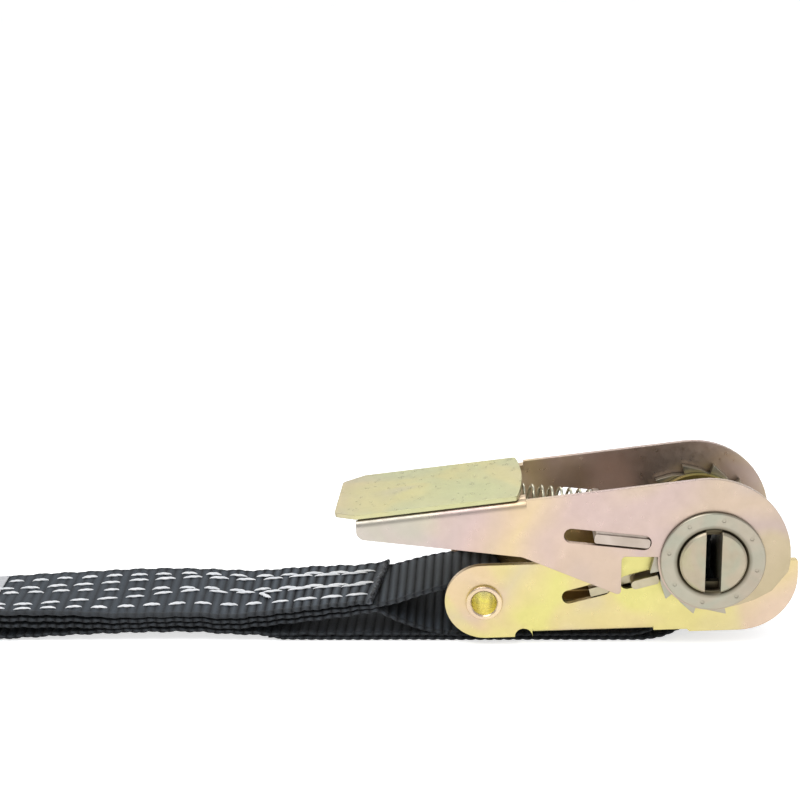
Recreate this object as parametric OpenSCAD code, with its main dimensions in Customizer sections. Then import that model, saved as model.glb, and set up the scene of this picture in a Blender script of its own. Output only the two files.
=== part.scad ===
// Ratchet strap for 25 mm webbing.
// A pressed steel frame holds a slotted winding spool between two side plates. A handle with its
// own pawl drives two toothed wheels on the spool, and a second pawl in the frame holds them.
// X runs along the strap, Y across it and Z up. The origin is on the resting surface, straight
// below the anchor pin and half way across the webbing.

/* [Webbing] */
// Width of the webbing
web_w = 25; // [22:0.5:25]
// Thickness of the webbing
web_t = 1.5; // [1.4:0.1:1.6]
// Whole length of the main strap
strap_len = 3500; // [2500:100:4000]
// Length of one stitch
stitch_len = 6.3; // [5:0.1:6.6]
// Distance from one stitch to the next
stitch_pitch = 9.1; // [8.5:0.1:10]
// Thickness of the stitching thread
thread_t = 0.7; // [0.5:0.1:0.9]

/* [Spool] */
// Distance from the anchor pin to the spool axis
spool_x = 75; // [74:0.5:77]
// Height of the spool axis above the resting surface
spool_z = 33; // [32.5:0.5:34]
// Radius of the two half-round shafts
shaft_r = 10.9; // [10.8:0.1:11]
// Length of the half-round shafts
shaft_len = 46; // [45:0.5:48]
// Width of the webbing slot between the shafts
slot_w = 5.2; // [4.5:0.1:5.5]
// Teeth on each ratchet wheel
teeth = 12; // [12:1:12]
// Radius at the tips of the teeth
tip_r = 20.6; // [20.4:0.1:20.8]
// Radius at the roots of the teeth
root_r = 17.3; // [17:0.1:17.4]
// Thickness of a ratchet wheel
wheel_t = 2.5; // [2:0.1:2.6]
// Outer radius of the retaining rings
ring_r = 17; // [16:0.5:18]

/* [Frame] */
// Sheet thickness of the frame
frame_t = 2; // [1.8:0.1:2.1]
// Clear width between the frame's side plates
frame_gap = 27.5; // [27:0.1:27.6]
// Tilt of the frame where it rests on the strap
tilt = 2; // [1.8:0.1:2.2]
// Height of the anchor pin axis
pin_z = 16; // [15.8:0.1:16.2]
// Bore radius of the hollow anchor pin
pin_bore_r = 4.3; // [4:0.1:4.4]
// Outer radius of the hollow anchor pin
pin_r = 4.9; // [4.8:0.1:5]

/* [Handle] */
// Sheet thickness of the handle sides
handle_t = 1.6; // [1.4:0.1:1.7]
// Distance from the spool axis to the end of the handle sides
handle_len = 117; // [112:1:120]
// Slope of the handle's top edge when it is closed
top_slope = 6.8; // [6.6:0.1:7]
// Thickness of the grip plate
grip_t = 1.5; // [1.4:0.1:2]
// Length of the grip plate behind its tongue
grip_len = 54; // [50:1:56]
// How far the tongue reaches past the handle sides
tongue_len = 7.5; // [6:0.5:9]

/* [Pawls] */
// Thickness of the frame's pawl
base_pawl_t = 3; // [2.8:0.1:3.2]
// Travel of the frame's pawl
base_travel = 3.2; // [3:0.1:3.3]
// Thickness of the handle's pawl
handle_pawl_t = 3.3; // [3:0.1:3.6]
// Travel of the handle's pawl
handle_travel = 8.5; // [6:0.1:8.5]

/* [Hidden] */

$fn = 96;
zinc_yellow = "#d8cf92";
zinc_pink = "#dcc3c0";
zinc_green = "#b9c2a4";
steel_dark = "#8a7f6c";
web_black = "#23262b";
thread_white = "#f0f2f4";

touch = 0.05;            // gap between layers that lie on each other
run = 0.08;              // radial running clearance on the spool
side_gap = 0.3;          // gap between parts that pass each other

// Half widths, from the middle of the strap outwards
frame_in = frame_gap / 2;
frame_out = frame_in + frame_t;
wheel_in = frame_out + side_gap;
wheel_out = wheel_in + wheel_t;
handle_in = wheel_out + side_gap;
handle_out = handle_in + handle_t;
ring_in = handle_out + side_gap;
ring_t = 1.2;
ring_seat = 0.5;

// ---------------------------------------------------------------- shared outlines

function unit(v) = v / norm(v);
function xz(p) = [p[0], p[1]];
function polar(r, a) = [r * cos(a), r * sin(a)];
function arc(c, r, a0, a1, n) = [for (i = [0:n]) c + polar(r, a0 + (a1 - a0) * i / n)];

// Points of a round of radius r on the corner b between a and c
function corner(a, b, c, r) =
    r <= 0 ? [b] :
    let (u = unit(a - b), v = unit(c - b), half = acos(u * v) / 2,
         o = b + unit(u + v) * r / sin(half),
         s = b + u * r / tan(half) - o, e = b + v * r / tan(half) - o,
         a0 = atan2(s[1], s[0]), sweep = (atan2(e[1], e[0]) - a0 + 540) % 360 - 180,
         n = max(2, ceil(abs(sweep) / 9)))
    [for (i = [0:n]) o + polar(r, a0 + sweep * i / n)];

// Outline through corners [x, z, radius]
function rounded(p) = [for (i = [0:len(p) - 1])
    each corner(xz(p[(i + len(p) - 1) % len(p)]), xz(p[i]), xz(p[(i + 1) % len(p)]), p[i][2])];

// Smooth line through points: a Catmull-Rom curve with n steps in each span
function ext(p, i) = i < 0 ? 2 * p[0] - p[1]
    : i >= len(p) ? 2 * p[len(p) - 1] - p[len(p) - 2] : p[i];
function spline_at(p, i, t) =
    let (a = ext(p, i - 1), b = p[i], c = ext(p, i + 1), d = ext(p, i + 2))
    0.5 * (2 * b + (c - a) * t + (2 * a - 5 * b + 4 * c - d) * t * t
           + (3 * b - a - 3 * c + d) * t * t * t);
function spline(p, n) = [for (i = [0:len(p) - 2], k = [0:n - 1]) spline_at(p, i, k / n),
                         p[len(p) - 1]];

// Closed outline of a ribbon of thickness t along the middle line p
function normal_at(p, i) =
    let (d = unit(p[min(i + 1, len(p) - 1)] - p[max(i - 1, 0)])) [-d[1], d[0]];
function ribbon(p, t) = concat(
    [for (i = [0:len(p) - 1]) p[i] + normal_at(p, i) * t / 2],
    [for (i = [len(p) - 1:-1:0]) p[i] - normal_at(p, i) * t / 2]);

// Height above x on the line through points that run from left to right
function height(p, x, i = 0) =
    i >= len(p) - 2 || x < p[i + 1][0]
    ? p[i][1] + (p[i + 1][1] - p[i][1]) * (x - p[i][0]) / (p[i + 1][0] - p[i][0])
    : height(p, x, i + 1);

// An outline in X and Z, as thick as the space from y0 to y1
module slab(y0, y1) {
    translate([0, y1, 0]) rotate([90, 0, 0]) linear_extrude(y1 - y0) children();
}

// A slot with round ends from u0 to u1, v above and below its middle line
module slot(u0, u1, v, half_w, y0, y1) {
    slab(y0, y1) translate([u0 + half_w, v - half_w]) square([u1 - u0 - 2 * half_w, 2 * half_w]);
    for (u = [u0 + half_w, u1 - half_w])
        translate([u, y1, v]) rotate([90, 0, 0]) cylinder(h = y1 - y0, r = half_w);
}

module at_spool() { translate([spool_x, 0, spool_z]) children(); }
module in_frame() { at_spool() rotate([0, -tilt, 0]) children(); }
module far_side() { mirror([0, 1, 0]) children(); }
module along_y(r, y0, y1) { translate([0, y1, 0]) rotate([90, 0, 0]) cylinder(h = y1 - y0, r = r); }

// ---------------------------------------------------------------- frame

// The anchor pin, seen from the spool in the frame's own tilted axes
pin_u = -spool_x * cos(tilt) - (spool_z - pin_z) * sin(tilt);
pin_v = spool_x * sin(tilt) - (spool_z - pin_z) * cos(tilt);
lobe_r = 13.3;
web_bottom = -26.7;
web_left = -59.7;
web_right = -19;
foot_bottom = -27.6;
horn_top = -2.85;
horn_right = 28.6;
end_r = 19.3;
relief_r = 3;
top_r = 17.5;
bend_r = 2.5;

// The frame's pawl slides along a line at this angle, a little below the spool axis
pawl_angle = 13.5;
pawl_v = -2.2;
pawl_tip = -18.4;
ear_back = -27.7;
rear_ear = [-41.7, -35.5];
pawl_slot_h = 4.8;
rear_slot = [-51.2, -34.6];
front_slot = [ear_back - base_travel - 0.35, -17.2];
peg_r = 1.9;
seat_u = -58;
seat_t = 1.8;

// The handle's pawl slides along this direction when the handle is closed, on a line handle_v
// from the spool axis. The frame has a ledge under its tip.
handle_slot_angle = 173.6;
handle_v = -3.7;
handle_tip = 20.9;
handle_ear_end = 39.2;
rest_r = handle_tip - side_gap;
closed_angle = handle_slot_angle - tilt;
stop_off = handle_v + handle_pawl_t / 2 + side_gap;
stop_angle = closed_angle + asin(stop_off / rest_r);

function along_stop(r) = polar(r, closed_angle) + polar(stop_off, closed_angle + 90);

frame_outline = concat(
    arc([pin_u, pin_v], lobe_r, 90, 270, 30),
    arc([web_left - relief_r, pin_v - lobe_r], relief_r, 180, 0, 10),
    [[web_left, web_bottom + bend_r], [web_right, web_bottom + bend_r], [web_right, web_bottom],
     [-8, web_bottom], [-7, foot_bottom]],
    arc([horn_right - end_r, foot_bottom + end_r], end_r, -90, 0, 14),
    corner([horn_right, -8], [horn_right, horn_top], [20, horn_top], 0.8),
    arc([0, 0], top_r, asin(horn_top / top_r), stop_angle - 13, 26),
    arc([0, 0], rest_r, stop_angle - 12, stop_angle, 6),
    [along_stop(22), along_stop(27), [-34, 2.2], [-46, -1.2]]);

// Cross-section of the bent web between the side plates
web_section = concat(
    [[-frame_out, web_bottom + bend_r]],
    arc([-frame_out + bend_r, web_bottom + bend_r], bend_r, 180, 270, 6),
    arc([frame_out - bend_r, web_bottom + bend_r], bend_r, 270, 360, 6),
    [[frame_in, web_bottom + bend_r]],
    arc([frame_in - 0.5, web_bottom + bend_r], bend_r - frame_t, 0, -90, 4),
    arc([-frame_in + 0.5, web_bottom + bend_r], bend_r - frame_t, -90, -180, 4));

module along_base_pawl() { rotate([0, -pawl_angle, 0]) children(); }

module frame_side() {
    difference() {
        slab(-frame_out, -frame_in) polygon(frame_outline);
        along_y(shaft_r + run, -frame_out - 1, -frame_in + 1);
        translate([pin_u, 0, pin_v]) along_y(pin_r + touch, -frame_out - 1, -frame_in + 1);
        along_base_pawl() {
            slot(rear_slot[0], rear_slot[1], pawl_v, pawl_slot_h / 2, -frame_out - 1, -frame_in + 1);
            slot(front_slot[0], front_slot[1], pawl_v, pawl_slot_h / 2,
                 -frame_out - 1, -frame_in + 1);
        }
    }
}

// The web's middle is cut and bent up to hold the pawl's spring
seat_w = 12;
module frame_web() {
    difference() {
        translate([web_left, 0, 0]) rotate([90, 0, 90])
            linear_extrude(web_right - web_left) polygon(web_section);
        slab(-seat_w / 2 - 0.5, seat_w / 2 + 0.5)
            translate([-51.5, web_bottom - 1]) square([15, frame_t + 2]);
    }
    intersection() {
        along_base_pawl() slab(-seat_w / 2, seat_w / 2)
            polygon(rounded([[seat_u, -16, 0], [seat_u + seat_t, -16, 0], [seat_u + seat_t, 2, 0.6],
                             [seat_u, 2, 0.6]]));
        slab(-seat_w, seat_w) translate([-70, web_bottom + 0.3]) square([30, 40]);
    }
}

module base_frame() {
    color(zinc_yellow) in_frame() {
        frame_side();
        far_side() frame_side();
        frame_web();
    }
}

// Hollow pin with a flared rim on each side plate
module anchor_pin() {
    flange_r = 6.2;
    flange_t = 1.35;
    rim = frame_out + touch;
    end = rim + flange_t;
    section = concat(
        [[pin_bore_r, -end + 0.5], [pin_bore_r + 0.5, -end]],
        corner([pin_r, -end], [flange_r, -end], [flange_r, -rim], 0.7),
        [[flange_r, -rim], [pin_r, -rim], [pin_r, rim], [flange_r, rim]],
        corner([flange_r, rim], [flange_r, end], [pin_r, end], 0.7),
        [[pin_bore_r + 0.5, end], [pin_bore_r, end - 0.5]]);
    color(zinc_yellow) translate([0, 0, pin_z]) rotate([90, 0, 0])
        rotate_extrude() polygon(section);
}

// ---------------------------------------------------------------- frame pawl

module pawl_plate(u0, u1, v, t, half_w, lead) {
    slab(-half_w, half_w) polygon([[u0, v - t / 2], [u1 - lead, v - t / 2], [u1, v - t / 2 + lead],
                                   [u1, v + t / 2], [u0, v + t / 2]]);
}

// Its front end, which meets both wheels, is pressed a little lower than the rest
front_v = pawl_v - 0.5;
module base_pawl() {
    color(steel_dark) in_frame() along_base_pawl() {
        pawl_plate(rear_ear[0], ear_back + 2, pawl_v, base_pawl_t, frame_in - side_gap, 0.1);
        slab(-wheel_out, wheel_out) polygon(rounded(
            [[ear_back, front_v - base_pawl_t / 2, 1.4],
             [pawl_tip - 0.8, front_v - base_pawl_t / 2, 0],
             [pawl_tip, front_v - base_pawl_t / 2 + 0.8, 0],
             [pawl_tip, front_v + base_pawl_t / 2, 0],
             [ear_back, front_v + base_pawl_t / 2, 1.4]]));
        pawl_plate(rear_ear[0], rear_ear[1], pawl_v, base_pawl_t, frame_out + 1, 0.3);
        translate([rear_ear[0] - 7, 0, pawl_v]) rotate([0, 90, 0]) cylinder(h = 8, r = peg_r);
    }
}

// Round wire wound into a spring along +X, closed at both ends
module coil_spring(length, mean_r, wire_r, turns) {
    sides = 8;
    steps = 14;
    rise = length - 2 * wire_r;
    rings = turns * steps;
    closed = 0.75 / turns;
    pts = [for (i = [0:rings])
        let (f = i / rings, a = 360 * turns * f,
             g = f < closed ? 0.35 * f : f > 1 - closed ? 1 - 0.35 * (1 - f)
                 : 0.35 * closed + (f - closed) * (1 - 0.7 * closed) / (1 - 2 * closed))
        each [for (k = [0:sides - 1])
            let (b = 360 * k / sides, r = mean_r + wire_r * cos(b))
            [wire_r + rise * g + wire_r * sin(b), r * cos(a), r * sin(a)]]];
    tube = [for (i = [0:rings - 1], k = [0:sides - 1])
        [i * sides + k, i * sides + (k + 1) % sides, (i + 1) * sides + (k + 1) % sides,
         (i + 1) * sides + k]];
    ends = [[for (k = [sides - 1:-1:0]) k], [for (k = [0:sides - 1]) rings * sides + k]];
    polyhedron(pts, concat(tube, ends), convexity = 10);
}

base_spring_r = 3;
base_wire_r = 0.45;
module base_pawl_spring() {
    start = seat_u + seat_t + touch;
    color(zinc_green) in_frame() along_base_pawl() translate([start, 0, pawl_v])
        coil_spring(rear_ear[0] - touch - start, base_spring_r, base_wire_r, 5);
}

// ---------------------------------------------------------------- spool

// One of the two half-round shafts; its flat faces the slot
module half_shaft() {
    end = shaft_len / 2;
    groove_r = shaft_r - 0.5;
    g0 = ring_in - touch;
    g1 = ring_in + ring_seat + touch;
    section = concat(
        [[0, -end], [shaft_r - 0.7, -end], [shaft_r, -end + 0.7]],
        [[shaft_r, -g1], [groove_r, -g1], [groove_r, -g0], [shaft_r, -g0]],
        [[shaft_r, g0], [groove_r, g0], [groove_r, g1], [shaft_r, g1]],
        [[shaft_r, end - 0.7], [shaft_r - 0.7, end], [0, end]]);
    intersection() {
        rotate([90, 0, 0]) rotate_extrude() polygon(section);
        translate([slot_w / 2, -shaft_len, -shaft_len]) cube([shaft_len, 2 * shaft_len, 2 * shaft_len]);
    }
}

module half_shaft_right() { color(zinc_green) at_spool() half_shaft(); }
module half_shaft_left() { color(zinc_green) at_spool() mirror([1, 0, 0]) half_shaft(); }

// Saw teeth: each rises from its root to its tip and drops along a radius
face_angle = 180 + pawl_angle + tilt;
tooth_outline = [for (i = [0:teeth - 1])
    let (a = face_angle + 360 * i / teeth)
    each [polar(root_r, a), polar((root_r * 2 + tip_r) / 3 + 0.25, a + 150 / teeth),
          polar(tip_r - 0.2, a + 330 / teeth), polar(tip_r, a + 345 / teeth),
          polar(tip_r, a + 360 / teeth - 0.4)]];

module ratchet_wheel() {
    key_w = slot_w - 2 * touch;
    difference() {
        slab(-wheel_out, -wheel_in) polygon(tooth_outline);
        along_y(shaft_r + 0.02, -wheel_out - 1, -wheel_in + 1);
    }
    for (s = [-1, 1]) {
        slab(-wheel_out, -wheel_in) translate([-key_w / 2, s * 9.9 - 1.6]) square([key_w, 3.2]);
    }
}

module ratchet_wheel_near() { color(zinc_yellow) at_spool() ratchet_wheel(); }
module ratchet_wheel_far() { color(zinc_yellow) at_spool() far_side() ratchet_wheel(); }

// Dished ring seated in the shafts' grooves, staked in eight places
module retaining_ring() {
    seat_r = shaft_r - 0.48;
    section = [[seat_r, ring_in], [ring_r, ring_in], [ring_r, ring_in + ring_t - 0.35],
               [ring_r - 0.35, ring_in + ring_t], [shaft_r + 0.9, ring_in + ring_t],
               [shaft_r + touch, ring_in + ring_seat], [seat_r, ring_in + ring_seat]];
    difference() {
        rotate([90, 0, 0]) rotate_extrude() polygon(section);
        for (i = [0:7]) {
            rotate([0, 45 * i + 12, 0]) translate([14.6, 0, 0])
                along_y(0.6, -ring_in - ring_t - 1, -ring_in - ring_t + 0.2);
        }
    }
}

module retaining_ring_near() { color(zinc_green) at_spool() retaining_ring(); }
module retaining_ring_far() { color(zinc_green) at_spool() far_side() retaining_ring(); }

wrap_in = shaft_r + touch;
wrap_out = wrap_in + web_t;
module wound_webbing() {
    color(web_black) at_spool() {
        difference() {
            along_y(wrap_out, -web_w / 2, web_w / 2);
            along_y(wrap_in, -web_w, web_w);
        }
        slab(-web_w / 2, web_w / 2) translate([-web_t / 2, -wrap_in - 0.3])
            square([web_t, 2 * wrap_in + 0.6]);
    }
}

// ---------------------------------------------------------------- handle

// Top edge of the handle sides: a straight line from its left end
edge_x = -handle_len;
edge_z = 14.6;
flange_len = 56;
flange_in = 14.6;
top_bend_r = 3.2;
hub_c = [-1.5, 1.5];
hub_r = (hub_c[0] - edge_x) * sin(top_slope) + (edge_z - hub_c[1]) * cos(top_slope);
cam_r = 17.7;

handle_outline = concat(
    corner([edge_x + 20, edge_z], [edge_x, edge_z], [edge_x, 7], 0.5),
    corner([edge_x, edge_z], [edge_x, 7.9], [-88, 4.6], 3),
    [[-88, 4.5]],
    corner([-88, 4.5], [-62, 1.3], [-55, -2], 5),
    corner([-62, 1.3], [-29.6, -12.6], [-29.6, 1.5], 1.2),
    corner([-29.6, -12.6], [-29.6, 1.4], [-19, 1.4], 1.5),
    arc([0, 0], cam_r, 176, 290, 22),
    [polar(18.3, 300), polar(19.9, 315), polar(22.4, 331)],
    arc(hub_c, hub_r, -12, 90 + top_slope, 18));

module in_top_edge() { translate([edge_x, 0, edge_z]) rotate([0, -top_slope, 0]) children(); }
module along_handle_pawl() { rotate([0, -handle_slot_angle, 0]) children(); }

module handle_side() {
    difference() {
        union() {
            slab(-handle_out, -handle_in) polygon(handle_outline);
            in_top_edge() translate([0.5, -handle_out, -handle_t])
                cube([flange_len, handle_out - flange_in, handle_t]);
        }
        in_top_edge() translate([-1, -handle_out, 0]) rotate([90, 0, 90])
            linear_extrude(flange_len + 1.5) difference() {
                translate([-1, -top_bend_r]) square([top_bend_r + 1, top_bend_r + 1]);
                translate([top_bend_r, -top_bend_r]) circle(r = top_bend_r);
            }
        along_y(shaft_r + run, -handle_out - 1, -handle_in + 1);
        along_handle_pawl() slot(handle_tip - 0.4, handle_ear_end + handle_travel + 1.5,
                                 handle_v, 2.5, -handle_out - 1, -handle_in + 1);
    }
}

module handle_side_near() { color(zinc_pink) at_spool() handle_side(); }
module handle_side_far() { color(zinc_pink) at_spool() far_side() handle_side(); }

// Plate across the handle sides, with a tongue at its end and a tab bent down for the spring
spring_seat_u = 66;
grip_half_w = handle_out - 0.7;
tongue_half_w = grip_half_w - 4.8;
module grip_plate() {
    outline = concat(
        corner([0, -grip_half_w], [-tongue_len, -tongue_half_w], [-tongue_len, 0], 2),
        corner([-tongue_len, 0], [-tongue_len, tongue_half_w], [0, grip_half_w], 2),
        [[0, grip_half_w]],
        corner([0, grip_half_w], [grip_len, grip_half_w], [grip_len, 0], 1.2),
        [for (i = [1:9]) [grip_len + 1.8 * cos(i * 18 - 90), grip_half_w * (1 - i / 5)]],
        corner([grip_len, 0], [grip_len, -grip_half_w], [0, -grip_half_w], 1.2),
        [[0, -grip_half_w]]);
    color(zinc_yellow) at_spool() {
        in_top_edge() translate([0, 0, touch]) linear_extrude(grip_t) polygon(outline);
        difference() {
            along_handle_pawl() slab(-6, 6)
                polygon(rounded([[spring_seat_u, -3, 0.6], [spring_seat_u + grip_t, -3, 0.6],
                                 [spring_seat_u + grip_t, -17, 0], [spring_seat_u, -17, 0]]));
            in_top_edge() translate([0, -30, touch + grip_t / 2]) cube([200, 60, 30]);
        }
    }
}

// The pawl's back end is bent up to the line of the spring
handle_spring_v = -8.3;
module handle_pawl() {
    body_u = 36.5;
    bent_up = handle_spring_v - handle_v;
    color(steel_dark) at_spool() along_handle_pawl() translate([0, 0, handle_v]) {
        slab(-handle_in + side_gap, handle_in - side_gap)
            translate([handle_tip, -handle_pawl_t / 2]) square([body_u - handle_tip, handle_pawl_t]);
        slab(-handle_out - 0.5, handle_out + 0.5) polygon(rounded(
            [[handle_tip, -handle_pawl_t / 2, 1.2], [handle_ear_end, -handle_pawl_t / 2, 1],
             [handle_ear_end, handle_pawl_t / 2, 1], [handle_tip, handle_pawl_t / 2, 1.2]]));
        slab(-6, 6) polygon(rounded([[body_u, 0, 0], [handle_ear_end, 0, 0],
                                     [handle_ear_end, bent_up - 3.2, 0.6],
                                     [body_u, bent_up - 3.2, 0.6]]));
        translate([body_u + 1, 0, bent_up]) rotate([0, 90, 0]) cylinder(h = 9, r = peg_r);
    }
}

handle_spring_r = 4;
handle_wire_r = 0.5;
module handle_pawl_spring() {
    start = handle_ear_end + touch;
    color(zinc_green) at_spool() along_handle_pawl() translate([start, 0, handle_spring_v])
        coil_spring(spring_seat_u - touch - start, handle_spring_r, handle_wire_r, 9);
}

// ---------------------------------------------------------------- webbing

// Height of the underside of the sewn layers, and of the lower run beneath them
stack_line = spline([[-192, 6.6], [-168, 8], [-145, 8.6], [-128, 8.6], [-113, 8.85], [-100, 8.8],
                     [-90, 8.2], [-81, 8.4], [-62, 10.3], [-46, 11.5], [-37, 12.4]], 4);
lower_line = spline([[-196, 0], [-182, 0.3], [-168, 1.5], [-145, 4], [-128, 5.9], [-113, 6.4],
                     [-100, 6.2], [-90, 5.4], [-81, 4.2], [-72, 2.4], [-62, 1.65], [-54, 1.55]], 3);
stack_end = -192;
cut_end = -37;
layer = web_t + touch;

function lifted(line, up, from) = [for (p = line) if (p[0] >= from) p + [0, up]];
function backwards(line) = [for (i = [len(line) - 1:-1:0]) line[i]];

module webbing(line) {
    color(web_black) slab(-web_w / 2, web_w / 2) polygon(ribbon(line, web_t));
}

// Separate piece folded round the anchor pin, its two legs sewn under the main strap
wrap_r = pin_r + 2 * touch + web_t / 2;
loop_line = concat(
    lifted(stack_line, layer + web_t / 2, stack_end),
    spline(concat([[-30, 16.3], [-22, 18.8], [-13, 21], [-6, 21.8]],
                  arc([0, pin_z], wrap_r, 100, 20, 3),
                  [[7.6, 13.5], [7.6, 9], [4, 5.2], [-3, 4], [-11, 4.5], [-21, 7.5],
                   [-30, 10.9]]), 4),
    backwards(lifted(stack_line, web_t / 2, stack_end)));
module anchor_loop() { webbing(loop_line); }

// The rest of the main strap, doubled and rolled up from its middle
run_len = 160 + 2 * 200 + 120;
roll_core = 8;
roll_r = sqrt(roll_core * roll_core + (strap_len - run_len) * web_t / PI);
roll_x = stack_end - 20 - roll_r;
module in_roll(r) { translate([roll_x, 0, roll_r]) along_y(r, -web_w, web_w); }

module strap_roll() {
    color(web_black) translate([roll_x, 0, roll_r]) difference() {
        along_y(roll_r, -web_w / 2, web_w / 2);
        along_y(roll_core - 2, -web_w, web_w);
    }
}

module main_strap_sewn_end() {
    down = layer + web_t / 2;
    line = concat(
        spline([[roll_x, down], [-228, down + 0.2], [-214, down + 2.2], [-200, down + 5.9]], 4),
        lifted(stack_line, 2 * layer + web_t / 2, stack_end));
    difference() {
        webbing(line);
        in_roll(roll_r + touch);
    }
}

// Along the strap's own free end, up past the frame's web, most of a turn round the spool and
// down again to the free end, which lies under the frame
turn_in = wrap_out + side_gap;
turn_r = turn_in + web_t / 2;
tail_end = -75;
module main_strap_lower_run() {
    low = web_t / 2;
    leave = -35;
    line = concat(
        [[roll_x, low], [-215, low]],
        lifted(lower_line, low, stack_end),
        spline([[44, layer + low], [51, layer + low + 0.2], [57.2, 4.7],
                [60.4, 10], [spool_x - turn_r, 20]], 5),
        arc([spool_x, spool_z], turn_r, 180, leave, 32),
        spline([[82, 18.6], [74.5, 10.6], [67, 5.3], [60.5, 2], [54, low]], 5),
        [[tail_end, low]]);
    difference() {
        webbing(line);
        in_roll(roll_r + touch);
    }
}

// Rows of stitches through the sewn layers. Each row has the distance of its first stitch from
// the cut end, its length scale, and its place across the strap at the label, half way and at the
// cut end. Two pairs of rows close up towards the cut end.
rows = [[5.4, 1, 7.8, 9.2, 6.9], [9, 1.18, 2.8, 7.3, 5.9], [4.8, 1, 0, 1.4, -0.5],
        [8.4, 1.18, -7.4, -0.1, -1.6], [6.8, 1, -10.2, -6.6, -7.5]];
label_end = -173.5;
label_t = 0.2;

function row_y(row, x) =
    let (f = max(0, min(2, (x - cut_end + 123) / 58)))
    f < 1 ? row[2] + (row[3] - row[2]) * f : row[3] + (row[4] - row[3]) * (f - 1);

module stitching() {
    top = lifted(stack_line, 3 * layer, stack_end);
    color(thread_white)
    for (row = rows, i = [0:16]) {
        x = cut_end - row[0] - stitch_pitch * (row[1] * 0.4 + 0.6) * i;
        on_label = x < label_end + stitch_len ? label_t + 0.1 : 0;
        if (x > stack_end + 4) {
            slope = height(top, x + 2) - height(top, x - 2);
            translate([x, row_y(row, x), height(top, x) + thread_t / 2 + touch + on_label])
                rotate([0, -atan2(slope, 4), 0])
                cube([stitch_len * row[1], 1.2 * thread_t, thread_t], center = true);
        }
    }
}

// Blank label under the outer stitches, on top of the main strap
module blank_label() {
    top = lifted(stack_line, 3 * layer + label_t / 2 + touch, stack_end);
    line = [for (p = top) if (p[0] < label_end) p];
    color("#d9dadb") slab(-5, 12) polygon(ribbon(line, label_t));
}

base_frame();
anchor_pin();
base_pawl();
base_pawl_spring();
half_shaft_left();
half_shaft_right();
ratchet_wheel_near();
ratchet_wheel_far();
retaining_ring_near();
retaining_ring_far();
wound_webbing();
handle_side_near();
handle_side_far();
grip_plate();
handle_pawl();
handle_pawl_spring();
anchor_loop();
main_strap_sewn_end();
main_strap_lower_run();
strap_roll();
stitching();
blank_label();
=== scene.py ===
"""Looks of the ratchet strap: zinc plated ratchet, woven webbing, stitching, camera and light."""

import math
import random

import bpy
import numpy as np
from mathutils import Matrix, Vector


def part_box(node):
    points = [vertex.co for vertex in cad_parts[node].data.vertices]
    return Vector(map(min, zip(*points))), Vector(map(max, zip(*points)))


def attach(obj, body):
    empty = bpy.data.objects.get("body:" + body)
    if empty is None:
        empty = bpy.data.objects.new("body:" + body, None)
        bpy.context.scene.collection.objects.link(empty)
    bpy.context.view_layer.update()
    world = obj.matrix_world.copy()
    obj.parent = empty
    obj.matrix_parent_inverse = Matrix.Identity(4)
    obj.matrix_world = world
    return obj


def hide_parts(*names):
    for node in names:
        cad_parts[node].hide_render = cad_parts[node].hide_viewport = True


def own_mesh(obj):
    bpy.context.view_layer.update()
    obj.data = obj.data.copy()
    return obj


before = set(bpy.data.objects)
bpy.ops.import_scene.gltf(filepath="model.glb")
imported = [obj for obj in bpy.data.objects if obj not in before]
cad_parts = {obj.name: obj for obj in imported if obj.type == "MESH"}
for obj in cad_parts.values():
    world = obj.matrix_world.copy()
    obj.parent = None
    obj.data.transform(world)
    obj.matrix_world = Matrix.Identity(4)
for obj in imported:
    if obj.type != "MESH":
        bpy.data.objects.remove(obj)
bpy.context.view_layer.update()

random.seed(7)
MM = 0.001

# ------------------------------------------------------------------ sizes, in millimetres
# The webbing's sizes and routes repeat those in the CAD model.
WEB_W = 25.0             # width of the webbing
WEB_T = 1.5              # its thickness
TOUCH = 0.05             # gap between pieces that touch
LAYER = WEB_T + TOUCH
STRAP_LEN = 3500.0       # length of the main strap
STITCH_LEN = 6.3         # length of a stitch on the surface
STITCH_PITCH = 9.1       # distance from one stitch to the next
STITCHES_PER_ROW = 17
CUT_END = -37.0          # the main strap's cut end
STACK_END = -192.0       # end of the sewn layers
LABEL_END = -173.5
LABEL_START = STACK_END + 0.6
LABEL_SIDES = (-5.0, 12.0)
PIN_Z = 16.0             # height of the anchor pin
SPOOL_X, SPOOL_Z = 75.0, 33.0
SHAFT_R = 10.9           # radius of the two half shafts together
PIN_R = 4.9
SIDE_GAP = 0.3           # gap between the spool's webbing and the strap's turn round it
WRAP_R = SHAFT_R + TOUCH + WEB_T / 2
TURN_R = SHAFT_R + TOUCH + WEB_T + SIDE_GAP + WEB_T / 2
RIB = 3.25               # distance from one rib of the weave to the next
SEEN_FROM = -178.0       # X from which the weave is modelled finely
FINE, COARSE = 8, 4      # steps to each rib there and elsewhere
STRAND_TURN = 2.094      # angle between two of a thread's three strands

# Underside of the sewn layers and underside of the lower run
STACK_LINE = [(-192, 6.6), (-168, 8), (-145, 8.6), (-128, 8.6), (-113, 8.85), (-100, 8.8),
              (-90, 8.2), (-81, 8.4), (-62, 10.3), (-46, 11.5), (-37, 12.4)]
LOWER_LINE = [(-196, 0), (-182, 0.3), (-168, 1.5), (-145, 4), (-128, 5.9), (-113, 6.4),
              (-100, 6.2), (-90, 5.4), (-81, 4.2), (-72, 2.4), (-62, 1.65), (-54, 1.55)]
TAIL_END = -75.0
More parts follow.
